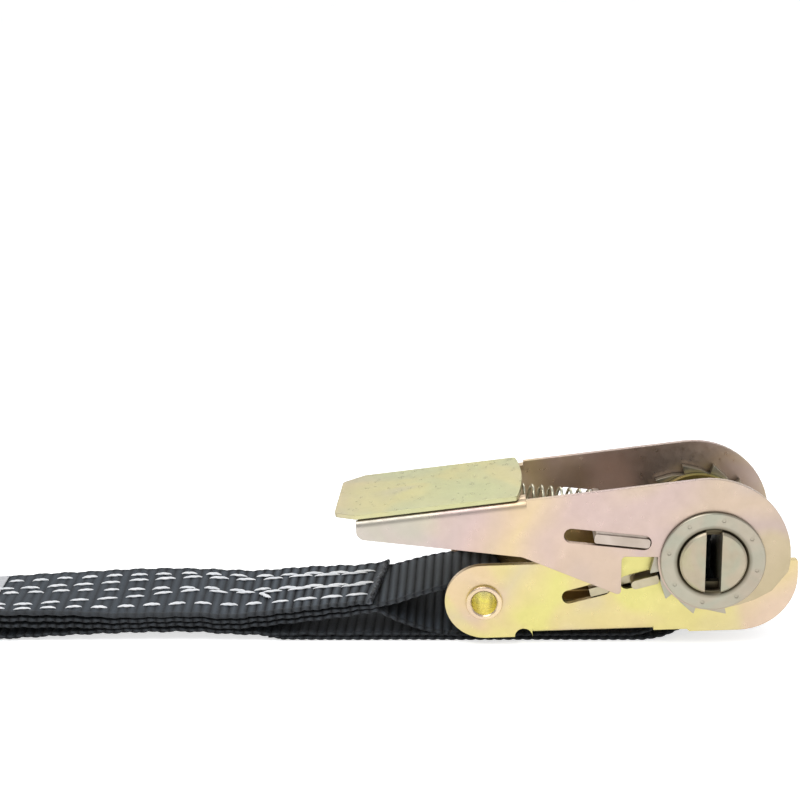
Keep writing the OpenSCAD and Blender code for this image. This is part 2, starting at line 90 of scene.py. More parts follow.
# How much the sewn layers and the lower run lean towards the near side, by X
SEWN_LEAN = [(-212, 0), (-192, 0.08), (-168, 0.14), (-157, 0.17), (-145, 0.20), (-128, 0.28),
             (-113, 0.28), (-100, 0.26), (-90, 0.28), (-81, 0.24), (-62, 0.21), (-46, 0.16),
             (-37, 0.15), (-29, 0.15), (-14, 0.10), (0, 0.02), (3, 0)]
# How much the anchor loop's lower leg leans
LEG_LEAN = SEWN_LEAN[:12] + [(-37, 0.14), (-30, 0.26), (-21, 0.27), (-14, 0.23), (-5, 0.13), (3, 0)]
LOWER_LEAN = [(-215, 0), (-192, 0.04), (-168, 0.1), (-145, 0.19), (-128, 0.28), (-113, 0.29),
              (-100, 0.27), (-90, 0.27), (-81, 0.2), (-72, 0.09), (-64, 0.0)]
# How far each layer's near edge opens away from the layer above it
OPEN = [(-200, 0), (-185, 0.03), (-150, 0.035), (-128, 0.02), (-113, 0.008), (-100, 0.01),
        (-90, 0.015), (-62, 0.02), (-45, 0.01), (-37, 0)]
# How far the lower run's far edge rises towards the sewn layers
RISE = [(-215, 0), (-196, 0.05), (-185, 0.11), (-168, 0.14), (-145, 0.08), (-128, 0.02),
        (-113, 0.01), (-100, 0.02), (-90, 0.03), (-81, 0.07), (-72, 0.05), (-64, 0)]
# Y of the webbing's far and near edges
FAR, NEAR = WEB_W / 2, -WEB_W / 2
# How flat the stitches press the main strap's ribs
PRESSED = [(-200, 0), (-190, 1), (-112, 0.9), (-82, 0.45), (-66, 0)]
# Rows of stitches: start, length scale, and place across at the label, half way and the cut end
ROWS = [(5.4, 1, 7.8, 9.2, 6.9), (9, 1.18, 2.8, 7.3, 5.9), (4.8, 1, 0, 1.4, -0.5),
        (8.4, 1.18, -7.4, -0.1, -1.6), (6.8, 1, -10.2, -6.6, -7.5)]


# ------------------------------------------------------------------ small helpers

def spline(points, steps):
    """Catmull-Rom curve through the points, the same one as in the CAD model."""
    p = [np.array(q, float) for q in points]
    p = [2 * p[0] - p[1]] + p + [2 * p[-1] - p[-2]]
    out = []
    for a, b, c, d in zip(p, p[1:], p[2:], p[3:]):
        for k in range(steps):
            t = k / steps
            out.append(0.5 * (2 * b + (c - a) * t + (2 * a - 5 * b + 4 * c - d) * t * t
                              + (3 * b - a - 3 * c + d) * t ** 3))
    return out + [p[-2]]


def arc(centre, radius, start, end, steps):
    angles = np.radians(np.linspace(start, end, steps + 1))
    return [np.array((centre[0] + radius * math.cos(a), centre[1] + radius * math.sin(a)))
            for a in angles]


def lifted(points, up):
    return [np.array((p[0], p[1] + up)) for p in points]


def step_lengths(line):
    return np.linalg.norm(np.diff(np.array(line, float), axis=0), axis=1)


def distances(line):
    """How far along the line each of its points lies."""
    return np.concatenate([[0], np.cumsum(step_lengths(line))])


def path_length(line):
    """The whole length. It can differ from the last of the distances by rounding."""
    return float(step_lengths(line).sum())


def lean_at(x, table):
    xs, ys = zip(*table)
    return np.interp(x, xs, ys)


def pucker(x, y):
    """The stitches draw the edges of the sewn layers into small waves."""
    begins, ends = STACK_END - 4, CUT_END + 3
    fade = np.clip((x - begins) / 8, 0, 1) * np.clip((ends - x) / 4, 0, 1)
    towards_edge = np.clip((np.abs(y) - 7) / 5.5, 0, 1) ** 1.5
    return 0.2 * fade * np.sin(2 * math.pi * x / STITCH_PITCH) * towards_edge


def mesh_object(name, vertices, faces):
    mesh = bpy.data.meshes.new(name)
    mesh.from_pydata([tuple(v) for v in vertices], [], faces)
    mesh.polygons.foreach_set("use_smooth", [True] * len(mesh.polygons))
    mesh.update()
    piece = bpy.data.objects.new(name, mesh)
    bpy.context.scene.collection.objects.link(piece)
    return piece


# ------------------------------------------------------------------ woven webbing

def across():
    """Places across the webbing, close together at the selvages."""
    half = WEB_W / 2
    side = [half, half - 0.12, half - 0.45, half - 0.9, half - 1.35, half - 1.8, 9.4, 7.5, 5.6,
            3.75, 1.9]
    return [-y for y in side] + [0.0] + side[::-1]


def rib_height(s):
    """0 in the valley between two ribs of the weave and 1 on top of a rib."""
    return np.sqrt(np.abs(np.sin(math.pi * s / RIB)))


def places_along(line):
    """Distances along the line, a few to each rib, with the x, the z and the normal there."""
    pts = np.array(line, float)
    length = distances(pts)
    s_values, s = [0.0], 0.0
    while s < length[-1]:
        x = np.interp(s, length, pts[:, 0])
        s += RIB / (FINE if x > SEEN_FROM else COARSE)
        s_values.append(min(s, length[-1]))
    s = np.array(s_values)
    x = np.interp(s, length, pts[:, 0])
    z = np.interp(s, length, pts[:, 1])
    apart = s + np.arange(len(s)) * 1e-9     # so that no step is zero
    tangent = np.stack([np.gradient(x, apart), np.gradient(z, apart)], 1)
    kernel = np.ones(5) / 5
    for k in (0, 1):
        padded = np.pad(tangent[:, k], 2, mode="edge")
        tangent[:, k] = np.convolve(padded, kernel, mode="valid")
    tangent /= np.linalg.norm(tangent, axis=1)[:, None]
    return s, x, z, np.stack([-tangent[:, 1], tangent[:, 0]], 1)


def woven_surface(s, ys, press):
    """Half the webbing's thickness at each place, how round its edges are across it, and how far
    the edges draw in between the ribs."""
    half = WEB_W / 2
    edge = np.clip((np.abs(ys) - (half - WEB_T * 0.45)) / (WEB_T * 0.45), 0, 1)
    crown = np.sqrt(np.clip(1 - edge ** 2, 0, 1))
    groove = 0.16 * np.exp(-((np.abs(ys) - (half - 1.6)) / 0.3) ** 2)
    selvage = np.clip((np.abs(ys) - (half - 1.5)) / 0.3, 0, 1)
    wander = 0.22 * np.sin(ys * 0.31 + 0.7)[None, :] + 0.12 * np.sin(s / 17)[:, None]
    field = rib_height(s[:, None] + wander)
    braid = rib_height(s[:, None] + RIB / 2 + 0.6 * np.sign(ys)[None, :])
    rib = field * (1 - selvage)[None, :] + braid * selvage[None, :]
    uneven = 1 + 0.05 * np.sin(s / 7.3)[:, None] * np.cos(ys / 4.1)[None, :]
    depth = (0.46 - 0.26 * press)[:, None]
    offset = (WEB_T / 2 * crown)[None, :] * uneven - depth * (1 - rib) * crown[None, :]
    offset = np.maximum(offset - groove[None, :], 0)
    draw_in = 0.22 * (1 - braid) * edge[None, :] * np.sign(ys)[None, :]
    return offset, crown, draw_in


def melted_end(s, ys, crown, melt):
    """The bead on a melted cut end, how far the cut slants, and its lifted corner."""
    lump = (0.5 + 0.5 * np.sin(ys * 2.3 + 1) * np.cos(ys * 5.1))[None, :]
    lump = lump * (0.7 + 0.3 * np.sin(s * 3.1)[:, None])
    bead = np.exp(-((s - 1.0) / 0.95) ** 2)[:, None] * (0.35 + melt * lump) * crown[None, :]
    slant = (0.9 + 0.19 * ys[None, :]) * np.exp(-s / 12.0)[:, None]
    corner = 1.1 * np.exp(-s / 3.0)[:, None] * np.clip((ys - 5) / 7, 0, 1)[None, :] ** 2
    return bead, slant, corner


def tube_faces(rows, ring):
    """Faces of a closed tube of rows of points, ring points to a row. The two ends come last."""
    first = np.arange(rows - 1)[:, None] * ring
    here = np.arange(ring)[None, :]
    a = (first + here).reshape(-1)
    b = (first + (here + 1) % ring).reshape(-1)
    last = (rows - 1) * ring
    return (np.stack([a, b, b + ring, a + ring], 1).tolist()
            + [list(range(ring))[::-1], [last + k for k in range(ring)]])


def webbing(name, line, dents=(), melt=0.0, leans=(), sewn_end=0.0):
    """A strap along the line of (x, z) points: ribs across it and a braided selvage on each edge.
    Dents are stitch ends on its upper side, melt is the height of the lumps on the melted cut end,
    and the ribs are pressed as far as sewn_end. Each of the leans tilts the strap between two
    distances by a table, and by a share of a second table about one of its edges."""
    s, x, z, normal = places_along(line)
    ys = np.array(across())
    press = np.where(s < sewn_end, lean_at(x, PRESSED), 0.0)
    lower_side, crown, draw_in = woven_surface(s, ys, press)
    upper = lower_side.copy()
    for ds, dy in dents:
        rows = np.where(np.abs(s - ds) < 3)[0]
        if len(rows):
            gap = ((s[rows, None] - ds) / 0.8) ** 2 + ((ys[None, :] - dy) / 0.9) ** 2
            upper[rows] -= 0.12 * np.exp(-gap) * crown[None, :]
    slant, corner = 0.0, 0.0
    if melt:
        bead, slant, corner = melted_end(s, ys, crown, melt)
        upper = upper + bead

    shift = np.zeros((len(s), len(ys)))
    for first_s, last_s, table, turn, share, pivot in leans:
        inside = (s >= first_s) & (s <= last_s)
        place = x[inside][:, None]
        shift[inside] = (lean_at(place, table) * ys[None, :] + pucker(place, ys[None, :])
                         + share * lean_at(place, turn) * (ys[None, :] - pivot))
    sides = []
    for sign, off in ((1, lower_side), (-1, upper)):
        px = x[:, None] + sign * off * normal[:, 0:1] + slant
        pz = z[:, None] + sign * off * normal[:, 1:2] + shift + corner
        sides.append(np.stack([px, ys[None, :] - draw_in, np.maximum(pz, 0.02)], 2))
    inner = slice(1, len(ys) - 1)
    points = np.concatenate([sides[0], sides[1][:, ::-1][:, inner]], 1)
    ring = points.shape[1]
    piece = mesh_object(name, points.reshape(-1, 3) * MM, tube_faces(len(s), ring))
    for end in (-1, -2):
        piece.data.polygons[end].use_smooth = False

    along = np.repeat(s[:, None], ring, 1)
    side = np.concatenate([ys, ys[::-1][inner]])[None, :] * np.ones_like(along)
    melted = np.exp(-(along / 1.9) ** 4) * (1 if melt else 0)
    weave = np.stack([along, side, melted], 2).reshape(-1).astype(np.float32)
    layer = piece.data.attributes.new("weave", "FLOAT_VECTOR", "POINT")
    layer.data.foreach_set("vector", weave)
    layer = piece.data.attributes.new("pressed", "FLOAT", "POINT")
    layer.data.foreach_set("value", np.repeat(press, ring).astype(np.float32))
    return piece


# ------------------------------------------------------------------ routes of the webbing

stack = spline(STACK_LINE, 6)
lower = spline(LOWER_LINE, 4)
roll_low, roll_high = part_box("strap_roll")
ROLL_R = (roll_high.z - roll_low.z) / 2 / MM
ROLL_X = (roll_low.x + roll_high.x) / 2 / MM
ROLL_CORE = 8.0


def rolled(turns, inner):
    """One layer of the doubled strap from the bottom of the roll to its middle."""
    pitch = 2 * LAYER
    out = []
    for phi in np.arange(0, 2 * math.pi * turns, math.radians(6)):
        r = ROLL_R - WEB_T / 2 - TOUCH - pitch * phi / (2 * math.pi) - (LAYER if inner else 0)
        out.append(np.array((ROLL_X - r * math.sin(phi), ROLL_R - r * math.cos(phi))))
    return out


def strap_route():
    """The main strap from its sewn end through the roll to the spool and its free end."""
    down = LAYER + WEB_T / 2
    low = WEB_T / 2
    sewn = lifted(stack, 2 * LAYER + low)[::-1]
    step_down = spline([(-200, down + 5.9), (-214, down + 2.2), (-228, down + 0.2)], 6)
    back = [np.array((-215.0, low))] + lifted(lower, low)
    back += spline([(-40, LAYER + low), (0, LAYER + low), (44, LAYER + low),
                    (51, LAYER + low + 0.2), (57.2, 4.7), (60.4, 10),
                    (SPOOL_X - TURN_R, 20)], 6)
    back += arc((SPOOL_X, SPOOL_Z), TURN_R, 180, -35, 48)
    back += spline([(82, 18.6), (74.5, 10.6), (67, 5.3), (60.5, 2), (54, low)], 6)
    back += spline([(0, low), (-64, low), (-70, low + 0.25), (TAIL_END, low + 0.9)], 4)
    turns = (ROLL_R - ROLL_CORE) / (2 * LAYER)
    for _ in range(12):     # each round brings the strap nearer to its length
        inward = rolled(turns, True)
        outward = rolled(turns, False)
        fold = (inward[-1] + outward[-1]) / 2
        spread = (outward[-1] - inward[-1]) / 2
        ahead = np.array((spread[1], -spread[0]))
        if np.dot(ahead, inward[-1] - inward[-2]) < 0:
            ahead = -ahead
        bend = [fold - spread * math.cos(a) + ahead * math.sin(a)
                for a in np.radians(np.linspace(20, 160, 8))]
        route = sewn + step_down + inward + bend + outward[::-1] + back
        error = STRAP_LEN - path_length(route)
        turns += error / (2 * 2 * math.pi * max(ROLL_R - 2 * LAYER * turns, 5))
    return route


def loop_route():
    wrap = PIN_R + 2 * TOUCH + WEB_T / 2
    top = lifted(stack, LAYER + WEB_T / 2)
    around = spline([(-30, 16.3), (-22, 18.8), (-13, 21), (-6, 21.8)]
                    + [tuple(p) for p in arc((0, PIN_Z), wrap, 100, 20, 3)]
                    + [(7.6, 13.5), (7.6, 9), (4, 5.2), (-3, 4), (-11, 4.5), (-21, 7.5),
                       (-30, 10.9)], 6)
    return top + around + lifted(stack, WEB_T / 2)[::-1]


def wound_route():
    """Up through the slot between the shafts, then once round them."""
    wrap = [np.array((0.0, z)) for z in np.linspace(-SHAFT_R - 0.6, SHAFT_R - 0.9, 14)]
    wrap += [np.array((0.25, SHAFT_R + 0.1))]
    wrap += arc((0, 0), WRAP_R, 84, -232, 64)
    return [p + np.array((SPOOL_X, SPOOL_Z)) for p in wrap]


# ------------------------------------------------------------------ stitches

def row_y(row, x):
    """Place across the strap of a row of stitches."""
    return float(np.interp(x, (CUT_END - 123, CUT_END - 65, CUT_END - 7), row[2:]))


def stitch_places():
    """Middle, half length and slant of each stitch."""
    places = []
    for row in ROWS:
        for i in range(STITCHES_PER_ROW):
            x = CUT_END - row[0] - STITCH_PITCH * (row[1] * 0.4 + 0.6) * i
            if x > STACK_END + 4:
                slant = (row_y(row, x + 1) - row_y(row, x - 1)) / 2 * STITCH_LEN / 2
                longer = 1 + 0.3 * max(0.0, min(1.0, (x + 72) / 10))     # near the cut end
                half = STITCH_LEN / 2 * row[1] * random.uniform(0.94, 1.06) * longer
                places.append((x + random.uniform(-0.25, 0.25),
                               row_y(row, x) + random.uniform(-0.18, 0.18), half,
                               slant + random.uniform(-0.2, 0.2)))
    return places


top_line = lifted(stack, 3 * LAYER)
top_xs, top_zs = zip(*top_line)


def top_height(x, y):
    """Height of the main strap's upper face above the resting surface."""
    lean = float(lean_at(x, SEWN_LEAN))
    return float(np.interp(x, top_xs, top_zs)) - TOUCH + y * lean + float(pucker(x, y))


def thread_piece(vertices, faces, x, y, slant, reach, thick, lift, phase):
    """One stitch: three strands twisted together, thick in the middle, diving in at both ends."""
    rings, sides = 13, 6
    for strand in range(3):
        first = len(vertices)
        for i in range(rings):
            u = -1 + 2 * i / (rings - 1)
            taper = max(0.12, 1 - abs(u) ** 2.2)
            turn = phase + strand * STRAND_TURN + u * 2.6
            px = x + u * reach
            py = y + slant * u + thick * 0.95 * taper * math.cos(turn)
            on_label = 0.2 if px < LABEL_END and LABEL_SIDES[0] < py < LABEL_SIDES[1] else 0.0
            rise = lift + on_label - 0.4 * u ** 6 + thick * 0.35 * taper * (1 + math.sin(turn))
            r = thick * (0.35 + 0.65 * taper)
            for k in range(sides):
                a = 2 * math.pi * k / sides
                vertices.append((px * MM, (py + r * math.sin(a)) * MM,
                                 (top_height(px, py) + rise + 0.7 * r * math.cos(a)) * MM))
        for i in range(rings - 1):
            for k in range(sides):
                a = first + i * sides + k
                b = first + i * sides + (k + 1) % sides
                faces.append((a, b, b + sides, a + sides))
        faces.append([first + k for k in range(sides)][::-1])
        faces.append([first + (rings - 1) * sides + k for k in range(sides)])


def stitches(places):
    vertices, faces = [], []
    for x, y, half, slant in places:
        thread_piece(vertices, faces, x, y, slant, reach=half, thick=random.uniform(0.32, 0.42),
                     lift=0.05, phase=random.uniform(0, 6))
    # Where the sewing thread was joined
    thread_piece(vertices, faces, -77.3, -3.0, -1.5, reach=2.0, thick=0.5, lift=0.3, phase=1.0)
    thread_piece(vertices, faces, -76.0, -4.1, -0.7, reach=1.5, thick=0.42, lift=0.4, phase=2.0)
    return mesh_object("stitch_threads", vertices, faces)


def label_cloth():
    """Blank label on top of the main strap."""
    xs = np.linspace(LABEL_START, LABEL_END, 30)
    ys = np.linspace(*LABEL_SIDES, 12)
    vertices, faces = [], []
    for lift in (0.06, 0.26):
        for x in xs:
            for y in ys:
                ripple = 0.05 * math.sin(x * 1.9) * math.sin(y * 0.8)
                vertices.append((x * MM, y * MM, (top_height(x, y) + lift + ripple) * MM))
    row, sheet = len(ys), len(xs) * len(ys)
    for i in range(len(xs) - 1):
        for k in range(row - 1):
            a = i * row + k
            faces.append((a, a + 1, a + row + 1, a + row))
            faces.append((sheet + a, sheet + a + row, sheet + a + row + 1, sheet + a + 1))
    rim = ([i * row for i in range(len(xs))]
           + [(len(xs) - 1) * row + k for k in range(1, row)]
           + [i * row + row - 1 for i in range(len(xs) - 2, -1, -1)]
           + [k for k in range(row - 2, 0, -1)])
    for a, b in zip(rim, rim[1:] + rim[:1]):
        faces.append((b, a, sheet + a, sheet + b))
    return mesh_object("label_cloth", vertices, faces)


# ------------------------------------------------------------------ springs

def coil(node, body, angle, line, moving, fixed, mean_r, wire_r, turns):
    """Round wire spring along a pawl's slide, from its moving end to its fixed seat. The line is
    the slide's distance from the spool axis; the wire lies close at both ends."""
    start, length = min(moving, fixed), abs(moving - fixed)
    sides, rings = 12, turns * 40
    share = np.linspace(0, 1, rings + 1)
    closed = 0.75 / turns       # share of the wire in the closed turn at each end
    middle = 0.35 * closed + (share - closed) * (1 - 0.7 * closed) / (1 - 2 * closed)
    far_end = np.where(share > 1 - closed, 1 - 0.35 * (1 - share), middle)
    climb = np.where(share < closed, 0.35 * share, far_end)
    round_coil = (2 * math.pi * turns * share)[:, None]
    round_wire = np.linspace(0, 2 * math.pi, sides, endpoint=False)[None, :]
    r = mean_r + wire_r * np.cos(round_wire) + 0 * round_coil
    u = start + wire_r + ((length - 2 * wire_r) * climb)[:, None] + wire_r * np.sin(round_wire)
    v = line + r * np.sin(round_coil)
    cos_a, sin_a = math.cos(math.radians(angle)), math.sin(math.radians(angle))
    points = np.stack([SPOOL_X + u * cos_a - v * sin_a, r * np.cos(round_coil),
                       SPOOL_Z + u * sin_a + v * cos_a], 2)
    piece = mesh_object(node + "_wire", points.reshape(-1, 3) * MM, tube_faces(rings + 1, sides))
    piece.data.materials.append(spring_steel)
    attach(piece, body)
    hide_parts(node)
    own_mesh(piece)


# ------------------------------------------------------------------ materials

class Nodes:
    """Short names for building a node material."""

    def __init__(self, name):
        self.material = bpy.data.materials.new(name)
        self.material.use_nodes = True
        self.tree = self.material.node_tree
        self.shader = self.tree.nodes["Principled BSDF"]

    def add(self, kind, **values):
        node = self.tree.nodes.new("ShaderNode" + kind)
        for key, value in values.items():
            setattr(node, key, value)
        return node

    def link(self, a, b):
        self.tree.links.new(a, b)

    def coords(self, scale=(1, 1, 1)):
        place = self.add("TexCoord")
        mapping = self.add("Mapping")
        mapping.inputs["Scale"].default_value = scale
        self.link(place.outputs["Object"], mapping.inputs["Vector"])
        return mapping.outputs["Vector"]

    def noise(self, vector, scale, detail=2.0, rough=0.5, distortion=0.0):
        node = self.add("TexNoise")
        node.inputs["Scale"].default_value = scale
        node.inputs["Detail"].default_value = detail
        node.inputs["Roughness"].default_value = rough
        node.inputs["Distortion"].default_value = distortion
        self.link(vector, node.inputs["Vector"])
        return node.outputs["Fac"]

    def ramp(self, value, stops, mode="LINEAR"):
        node = self.add("ValToRGB")
        node.color_ramp.interpolation = mode
        elements = node.color_ramp.elements
        while len(elements) < len(stops):
            elements.new(0.5)
        for element, (place, colour) in zip(elements, stops):
            element.position = place
            element.color = (*colour, 1)
        self.link(value, node.inputs["Fac"])
        return node.outputs["Color"]

    def math(self, kind, a, b=None):
        node = self.add("Math", operation=kind)
        for socket, value in zip(node.inputs, (a, b)):
            if value is None:
                continue
            if isinstance(value, (int, float)):
                socket.default_value = value
            else:
                self.link(value, socket)
        return node.outputs[0]

    def mix(self, factor, a, b, blend="MIX"):
        node = self.add("Mix", data_type="RGBA", blend_type=blend)
        for socket, value in ((node.inputs[0], factor), (node.inputs[6], a), (node.inputs[7], b)):
            if isinstance(value, (int, float)):
                socket.default_value = value
            elif isinstance(value, tuple):
                socket.default_value = (*value, 1)
            else:
                self.link(value, socket)
        return node.outputs[2]

    def split(self, vector):
        node = self.add("SeparateXYZ")
        self.link(vector, node.inputs["Vector"])
        return node.outputs

    def spread(self, value, low, high, value_low=0.0, value_high=1.0):
        """The value, from value_low to value_high, spread over low to high."""
        node = self.add("MapRange")
        node.inputs["From Min"].default_value = value_low
        node.inputs["From Max"].default_value = value_high
        node.inputs["To Min"].default_value = low
        node.inputs["To Max"].default_value = high
        self.link(value, node.inputs["Value"])
        return node.outputs["Result"]

    def rounded_edges(self, radius):
        node = self.add("Bevel", samples=6)
        node.inputs["Radius"].default_value = radius
        return node.outputs["Normal"]

    def occlusion_shade(self, distance, stops):
        """Painted shade: colour by how open the surface is within the distance."""
        node = self.add("AmbientOcclusion", samples=4)
        node.inputs["Distance"].default_value = distance
        return self.ramp(node.outputs["AO"], stops)

    def bump(self, height, strength, distance, normal=None):
        node = self.add("Bump")
        node.inputs["Strength"].default_value = strength
        node.inputs["Distance"].default_value = distance
        self.link(height, node.inputs["Height"])
        if normal is not None:
            self.link(normal, node.inputs["Normal"])
        return node.outputs["Normal"]


def zinc(name, bands, tints, rough=(0.26, 0.42), patch=22.0, tint=0.45, slope=0.0,
         spool_shade_grime=None, inner=None, level=1.0, gaps=True):
    """Chromated zinc plating: colour that drifts through the bands (x in millimetres and colour),
    along X and by the slope with height, with patches of the tints, fine grain and rounded edges.
    The level scales every colour. With gaps it is darkened by painted shade in narrow gaps, and
    inside the radius spool_shade_grime round the spool it is darkened by painted shade and some
    grime.
    Nearer to the middle plane than the first value of inner it has that colour over it."""
    n = Nodes(name)
    bands = [(x, tuple(level * c for c in colour)) for x, colour in bands]
    tints = [tuple(level * c for c in colour) for colour in tints]
    where = n.coords()
    place_x, place_y, place_z = n.split(where)
    drift = n.math("MULTIPLY", n.math("SUBTRACT", n.noise(where, 26, 2, 0.5, 0.5), 0.5), 0.07)
    low, high = bands[0][0] * MM, bands[-1][0] * MM
    drift = n.math("SUBTRACT", drift, n.math("MULTIPLY", place_z, slope))
    drift = n.math("ADD", drift, 15 * MM * slope)
    along = n.math("DIVIDE", n.math("SUBTRACT", n.math("ADD", place_x, drift), low), high - low)
    colour = n.ramp(along, [((x * MM - low) / (high - low), c) for x, c in bands])
    patches = n.noise(where, patch, 2.0, 0.5, 0.8)
    last = len(tints) - 1
    other = n.ramp(patches, [(0.32 + 0.36 * i / last, c) for i, c in enumerate(tints)], "EASE")
    colour = n.mix(tint, colour, other)
    cloud = n.noise(where, 140, 3, 0.6, 0.4)
    shade = n.ramp(cloud, [(0.25, (0.92, 0.92, 0.91)), (0.75, (1.0, 1.0, 1.0))])
    colour = n.mix(1.0, colour, shade, "MULTIPLY")
    fleck = n.noise(where, 1100, 2, 0.7)
    specks = n.ramp(fleck, [(0.30, (0.90, 0.88, 0.85)), (0.45, (1, 1, 1))])
    colour = n.mix(0.2, colour, specks, "MULTIPLY")
    # Painted shade: darker in narrow gaps and slots, where other surfaces are near
    if gaps:
        shade_and_grime = n.occlusion_shade(0.006, [(0.0, (0.16, 0.12, 0.09)), (0.55, (1, 1, 1))])
        colour = n.mix(1.0, colour, shade_and_grime, "MULTIPLY")
    # Painted shade in the dished bend round the spool, with some grime: darker inside the given
    # radius
    if spool_shade_grime:
        round_spool = n.add("Mapping")
        round_spool.inputs["Location"].default_value = (-SPOOL_X * MM, 0, -SPOOL_Z * MM)
        round_spool.inputs["Scale"].default_value = (1, 0, 1)
        n.link(where, round_spool.inputs["Vector"])
        radius = n.add("VectorMath", operation="LENGTH")
        n.link(round_spool.outputs["Vector"], radius.inputs[0])
        start, end, shade_and_grime = spool_shade_grime
        ring = n.math("DIVIDE", n.math("SUBTRACT", radius.outputs["Value"], start * MM),
                      (end - start) * MM)
        colour = n.mix(1.0, colour, n.ramp(ring, [(0.0, shade_and_grime), (1.0, (1, 1, 1))]), "MULTIPLY")
    if inner:
        reach, cover = inner
        outside = n.math("GREATER_THAN", n.math("ABSOLUTE", place_y), reach * MM)
        covered = n.mix(1.0, colour, cover, "MULTIPLY")
        colour = n.mix(outside, covered, colour)
    n.link(colour, n.shader.inputs["Base Color"])
    n.shader.inputs["Metallic"].default_value = 0.9
    grain = n.noise(where, 420, 3, 0.6)
    n.link(n.spread(grain, *rough, 0.3, 0.7), n.shader.inputs["Roughness"])
    rolled_marks = n.noise(n.coords((60, 900, 900)), 1.0, 2, 0.6)
    soft = n.bump(n.noise(where, 60, 2, 0.5), 0.10, 0.0006, n.rounded_edges(0.35 * MM))
    fine = n.bump(rolled_marks, 0.03, 0.0001, soft)
    n.link(n.bump(grain, 0.01, 0.00005, fine), n.shader.inputs["Normal"])
    return n.material


def web_material():
    """Dark polyester: fine warp yarns over thick ribs, with a soft sheen. The rib crests carry a
    painted sheen and the valleys painted shade; the selvages and the places close to other parts
    are darkened by painted shade.
    """
    n = Nodes("webbing")
    weave = n.add("Attribute", attribute_name="weave", attribute_type="GEOMETRY")
    along, side, melted = n.split(weave.outputs["Vector"])
    rib = n.math("ABSOLUTE", n.math("SINE", n.math("MULTIPLY", along, math.pi / RIB)))
    pressed = n.add("Attribute", attribute_name="pressed", attribute_type="GEOMETRY")
    flat = n.math("MULTIPLY", pressed.outputs["Fac"], 0.62)
    rib = n.math("ADD", rib, n.math("MULTIPLY", flat, n.math("SUBTRACT", 0.7, rib)))
    yarn = n.math("ABSOLUTE", n.math("SINE", n.math("MULTIPLY", side, math.pi / 0.52)))
    where = n.coords()
    fuzz = n.noise(where, 1700, 3, 0.7)
    tone = n.noise(where, 55, 2, 0.5)
    # Painted sheen and shade: the rib crests are lighter and the valleys between the ribs darker
    base = n.ramp(rib, [(0.0, (0.002, 0.003, 0.005)), (0.4, (0.008, 0.012, 0.018)),
                        (0.8, (0.030, 0.042, 0.056)), (1.0, (0.064, 0.084, 0.106))])
    # Painted shade: the webbing is darkened towards both selvages
    reach = n.math("DIVIDE", n.math("ABSOLUTE", side), WEB_W / 2)
    base = n.mix(1.0, base, n.ramp(reach, [(0.87, (1, 1, 1)), (0.92, (0.30, 0.32, 0.34))]),
                 "MULTIPLY")
    # Painted shade: darker where other webbing or parts are near
    shaded = n.occlusion_shade(0.014, [(0.15, (0.04, 0.04, 0.04)), (0.55, (0.26, 0.26, 0.26)),
                              (0.88, (1, 1, 1))])
    base = n.mix(1.0, base, shaded, "MULTIPLY")
    yarns = n.ramp(yarn, [(0.0, (0.66, 0.68, 0.72)), (0.7, (1, 1, 1))])
    base = n.mix(1.0, base, yarns, "MULTIPLY")
    clouds = n.ramp(tone, [(0.3, (0.80, 0.82, 0.84)), (0.7, (1.12, 1.1, 1.08))])
    base = n.mix(1.0, base, clouds, "MULTIPLY")
    base = n.mix(0.14, base, n.ramp(fuzz, [(0.35, (0.006, 0.007, 0.009)),
                                           (0.75, (0.085, 0.095, 0.105))]))
    crust = n.ramp(n.noise(where, 900, 3, 0.7), [(0.44, (0.004, 0.005, 0.007)),
                                                 (0.62, (0.10, 0.11, 0.13))])
    base = n.mix(melted, base, crust)
    n.link(base, n.shader.inputs["Base Color"])
    n.link(n.spread(melted, 0.62, 0.34), n.shader.inputs["Roughness"])
    n.shader.inputs["Sheen Weight"].default_value = 0.1
    n.shader.inputs["Sheen Roughness"].default_value = 0.45
    crest = n.ramp(rib, [(0.0, (0.10, 0.10, 0.10)), (0.45, (0.45, 0.45, 0.45)),
                         (1.0, (0.62, 0.62, 0.62))])
    # The painted shade also dims the specular
    n.link(n.mix(1.0, crest, shaded, "MULTIPLY"), n.shader.inputs["Specular IOR Level"])
    warp = n.bump(yarn, 0.55, 0.00012)
    n.link(n.bump(fuzz, 0.35, 0.00008, warp), n.shader.inputs["Normal"])
    return n.material


def thread_material():
    n = Nodes("white_thread")
    where = n.coords()
    fibre = n.noise(n.coords((300, 1500, 1500)), 1.0, 3, 0.7)
    colour = n.ramp(fibre, [(0.3, (0.70, 0.73, 0.76)), (0.6, (0.96, 0.96, 0.97))])
    n.link(colour, n.shader.inputs["Base Color"])
    n.shader.inputs["Roughness"].default_value = 0.72
    n.shader.inputs["Sheen Weight"].default_value = 0.2
    n.link(n.bump(n.noise(where, 2600, 2, 0.6), 0.4, 0.00006), n.shader.inputs["Normal"])
    return n.material


def label_material():
    n = Nodes("label_cloth")
    where = n.coords()
    threads = n.noise(n.coords((400, 2600, 400)), 1.0, 2, 0.6)
    colour = n.ramp(threads, [(0.3, (0.48, 0.48, 0.49)), (0.7, (0.66, 0.66, 0.67))])
    n.link(colour, n.shader.inputs["Base Color"])
    n.shader.inputs["Roughness"].default_value = 0.8
    n.link(n.bump(n.noise(where, 3000, 2, 0.6), 0.3, 0.00005), n.shader.inputs["Normal"])
    return n.material


